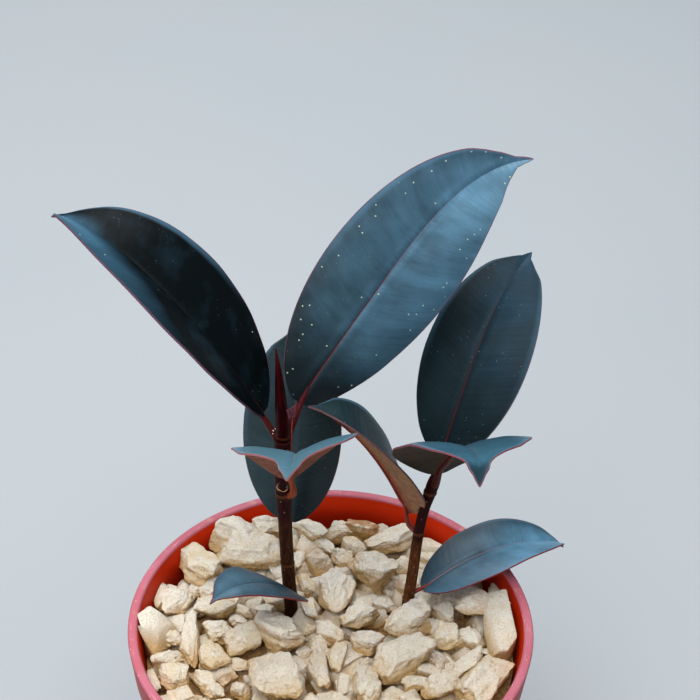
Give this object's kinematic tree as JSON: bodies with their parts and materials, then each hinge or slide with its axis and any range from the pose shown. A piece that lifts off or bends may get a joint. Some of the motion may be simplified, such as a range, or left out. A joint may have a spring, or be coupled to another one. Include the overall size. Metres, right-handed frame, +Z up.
{
  "type": "potted rubber plant",
  "caption": "Young rubber plant with long dark glossy leaves on two thin stems, in a small round tapered plastic pot topped with cream stone chips.",
  "frame": {"origin": "middle of the pot's flat underside", "axes": "+Z up; -Y is the side that the plant faces, and +X is to the right seen from there"},
  "size_m": [0.1369, 0.105, 0.2152],
  "materials": {
    "pot_plastic": "matte, dusty on the rim",
    "soil": "dark and crumbly",
    "stone_chips": "rough broken faces",
    "bark": "smooth, slightly glossy",
    "bud_scale": "satin",
    "leaf_dark": "glossy",
    "leaf_blue": "glossy",
    "leaf_underside": "satin"
  },
  "bodies": {
    "root": {"pot": "pot_plastic", "potting_soil": "soil", "gravel": "stone_chips", "stem_left": "bark", "stem_right": "bark", "bud_sheath": "bud_scale", "leaf_upper_left": "leaf_dark", "leaf_upper_right": "leaf_blue", "leaf_back": "leaf_dark", "leaf_front_left": "leaf_blue", "leaf_low_left": "leaf_blue", "leaf_tall_right": "leaf_dark", "leaf_front_right": "leaf_blue", "leaf_low_right": "leaf_blue", "leaf_arching": "leaf_underside"}
  },
  "joints": []
}
